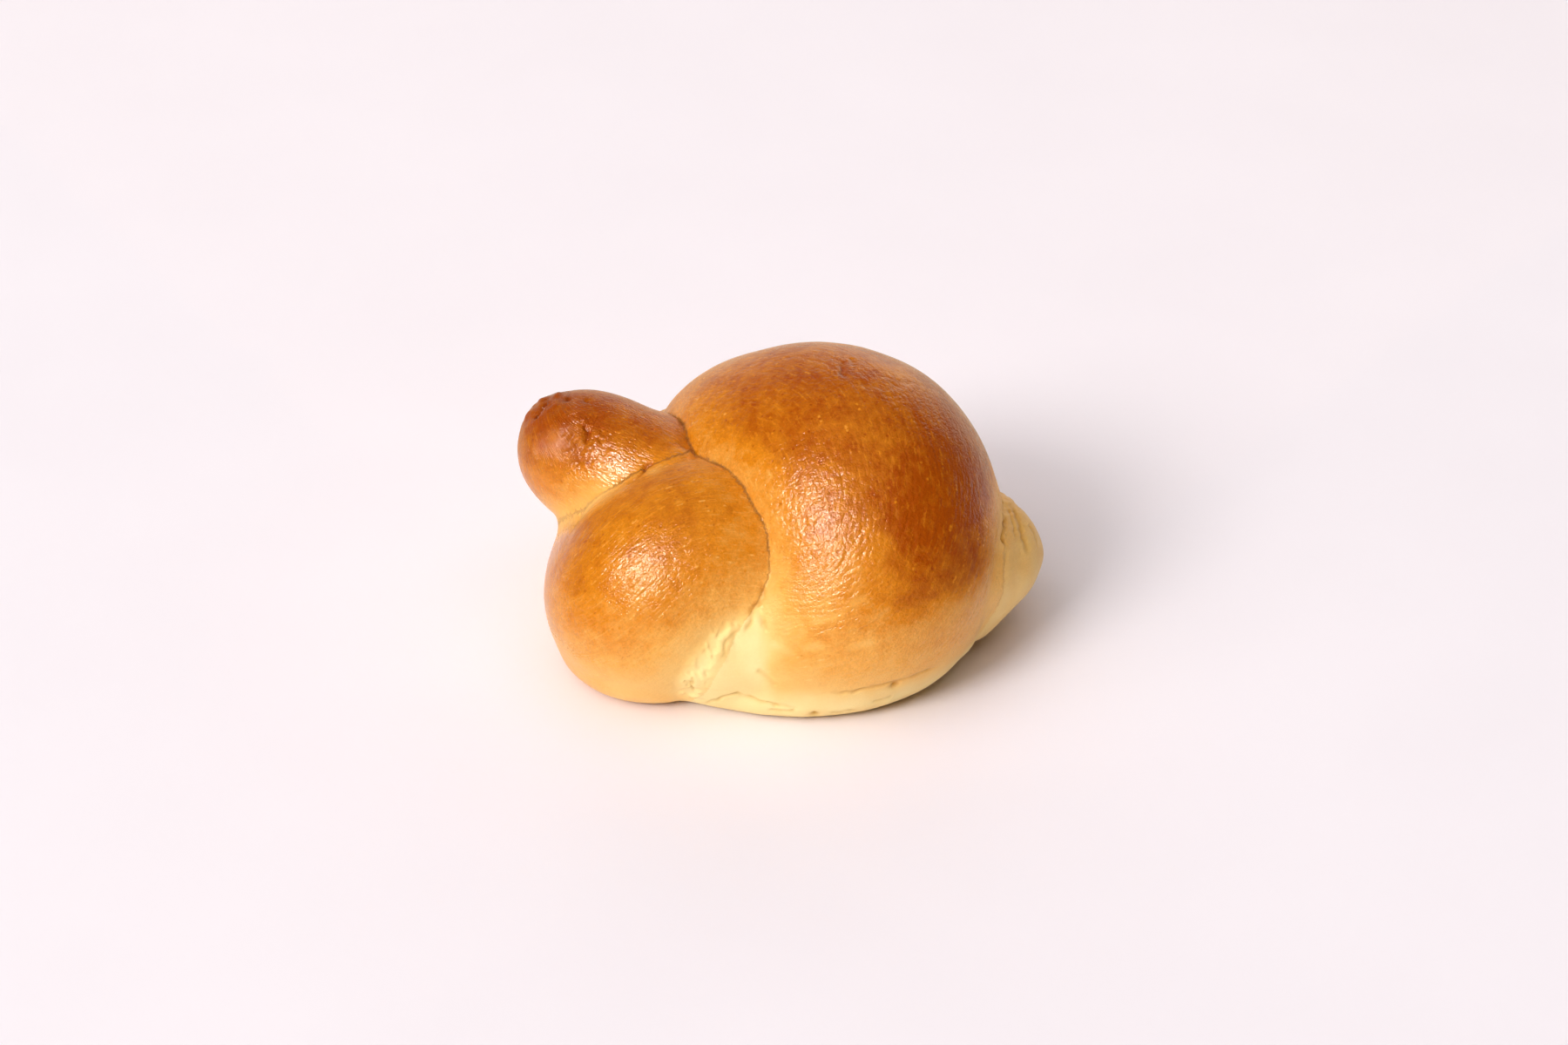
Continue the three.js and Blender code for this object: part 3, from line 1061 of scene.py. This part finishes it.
def crust_roughness(nodes, marks):
    """Pale dough is matt and browned crust smoother, a little uneven along the strokes."""
    glaze = nodes.range(marks["browning"], *GLAZED, PALE_ROUGHNESS, GLAZED_ROUGHNESS)
    return nodes.math("ADD", glaze, nodes.either_way(marks["strokes"], ROUGHNESS_CHANGE))


def crust_bump(nodes, marks):
    """The marks as fine relief, which pale dough has little of unless glaze lies on it."""
    height = nodes.weighted([(marks[name], share) for name, share in BUMP_SHARES.items()])
    height = nodes.math("MULTIPLY", height, nodes.math("MAXIMUM", marks["baked"], marks["pool"]))
    inputs = {"Height": height, "Strength": 1.0, "Distance": BUMP_DEPTH * MM}
    return nodes.add("ShaderNodeBump", inputs).outputs["Normal"]


def crust_coat(nodes, marks):
    """How much coat the egg glaze gives."""
    coat = nodes.range(marks["browning"], *COATED, 0, CRUST_COAT)
    return nodes.math("ADD", coat, nodes.math("MULTIPLY", marks["pool"], POOL_COAT))


def crust_material():
    """Egg-glazed crust."""
    nodes = Nodes("egg_glazed_crust")
    marks = crust_marks(nodes)
    bump = crust_bump(nodes, marks)
    nodes.set_shader({
        "Base Color": crust_colour(nodes, marks),
        "Roughness": crust_roughness(nodes, marks),
        "Normal": bump,
        "Coat Weight": crust_coat(nodes, marks),
        "Coat Normal": bump,
    })
    nodes.set_shader(CRUST_SHADER)
    return nodes.material


def floor_material():
    """A pale matt table top with a faint unevenness."""
    nodes = Nodes("pale_floor")
    cloud = nodes.noise(nodes.place(), FLOOR_CLOUD, 2)
    nodes.join(nodes.shader, "Base Color", nodes.colours(cloud, FLOOR_COLOURS))
    nodes.set_shader(FLOOR_SHADER)
    return nodes.material


def card_material(name, colour):
    """Matt card with a faint unevenness."""
    nodes = Nodes(name)
    cloud = nodes.noise(nodes.place(), CARD_CLOUD, 2)
    darker = tuple(CARD_DARKER * value for value in colour)
    stops = [("darker", 0.3, darker), ("its own colour", 0.7, colour)]
    nodes.join(nodes.shader, "Base Color", nodes.colours(cloud, stops))
    nodes.set_shader({"Specular IOR Level": 0})
    return nodes.material


# Floor, light and camera

def sheet(name, corners, material):
    """A flat piece of the stage."""
    mesh = bpy.data.meshes.new(name)
    mesh.from_pydata(corners, [], [range(len(corners))])
    mesh.materials.append(material)
    thing = bpy.data.objects.new(name, mesh)
    bpy.context.scene.collection.objects.link(thing)
    return thing


def floor():
    half = FLOOR_HALF
    corners = [(-half, -half, 0), (half, -half, 0), (half, half, 0), (-half, half, 0)]
    return sheet("floor", corners, floor_material())


def card(name, outline, colour):
    """A card lying on the floor, seen only in the glaze, where it is a painted reflection: shade when black,
    a warm sheen when tan.
    """
    thing = sheet(name, [(x, y, CARD_HEIGHT) for x, y in outline], card_material(name, colour))
    thing.visible_camera = False
    thing.visible_diffuse = False
    thing.visible_shadow = False
    return thing


def aim(thing, at):
    """Turns a light or camera towards a point, with its top up."""
    way = Vector(at) - thing.location
    thing.rotation_euler = way.to_track_quat("-Z", "Y").to_euler()


def softbox(box):
    """A round softbox. By itself it gives a white card at the roll that faces it its brightness."""
    lamp = bpy.data.lights.new(box.name, "AREA")
    lamp.shape = "DISK"
    lamp.size = 2 * box.distance * math.tan(math.radians(box.half_angle))
    lamp.energy = box.brightness * (math.pi * box.distance) ** 2
    lamp.color = box.colour
    light = bpy.data.objects.new(box.name, lamp)
    light.location = Vector(box.towards).normalized() * box.distance
    bpy.context.scene.collection.objects.link(light)
    aim(light, (0, 0, 0))
    return light


def studio_sky():
    """Light from the backdrop behind the roll. The glaze doesn't mirror it."""
    world = bpy.data.worlds.new("studio")
    world.use_nodes = True
    world.cycles_visibility.glossy = False
    nodes, links = world.node_tree.nodes, world.node_tree.links
    background = nodes["Background"]
    background.inputs["Color"].default_value = (1, 1, 1, 1)
    place = nodes.new("ShaderNodeTexCoord")
    behind = nodes.new("ShaderNodeVectorMath")
    behind.operation = "DOT_PRODUCT"
    behind.inputs[1].default_value = BACKDROP
    glow = nodes.new("ShaderNodeMapRange")
    glow.interpolation_type = "SMOOTHSTEP"
    glow.inputs["From Min"].default_value, glow.inputs["From Max"].default_value = BACKDROP_EDGE
    glow.inputs["To Max"].default_value = BACKDROP_BRIGHTNESS
    links.new(place.outputs["Generated"], behind.inputs[0])
    links.new(behind.outputs["Value"], glow.inputs["Value"])
    links.new(glow.outputs["Result"], background.inputs["Strength"])
    bpy.context.scene.world = world


def falls_only_on(light, things):
    """Keeps a light to a few things."""
    receivers = bpy.data.collections.new("lit_by_" + light.name)
    for thing in things:
        receivers.objects.link(thing)
    light.light_linking.receiver_collection = receivers


def lights(crust, floor_and_cards):
    """Soft light on the roll and the floor, and three lights that only the glaze mirrors."""
    soft = [softbox(box) for box in KEY_SOFTBOXES]
    on_crust = softbox(CRUST_SOFTBOX)
    on_floor = softbox(FLOOR_SOFTBOX)
    for light in (*soft, on_crust, on_floor):
        light.visible_glossy = False
    falls_only_on(on_crust, [crust])
    falls_only_on(on_floor, floor_and_cards)
    for box in MIRRORED_SOFTBOXES:
        softbox(box).visible_diffuse = False
    studio_sky()


def camera():
    lens = bpy.data.cameras.new("camera")
    lens.lens = CAMERA_LENS
    lens.sensor_width = CAMERA_SENSOR
    view = bpy.data.objects.new("camera", lens)
    rise = math.radians(CAMERA_ELEVATION)
    target = Vector(CAMERA_TARGET) * MM
    view.location = target + Vector((0, -math.cos(rise), math.sin(rise))) * CAMERA_DISTANCE * MM
    bpy.context.scene.collection.objects.link(view)
    aim(view, target)
    bpy.context.scene.camera = view


crust = crust_piece()
crust.data.materials.append(crust_material())
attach(crust, "root")
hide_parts("knot_roll")
floor_and_cards = [floor()]
for name, outline, colour in CARDS:
    floor_and_cards.append(card(name, outline, colour))
lights(crust, floor_and_cards)
camera()
bpy.context.scene.view_settings.view_transform = "Standard"
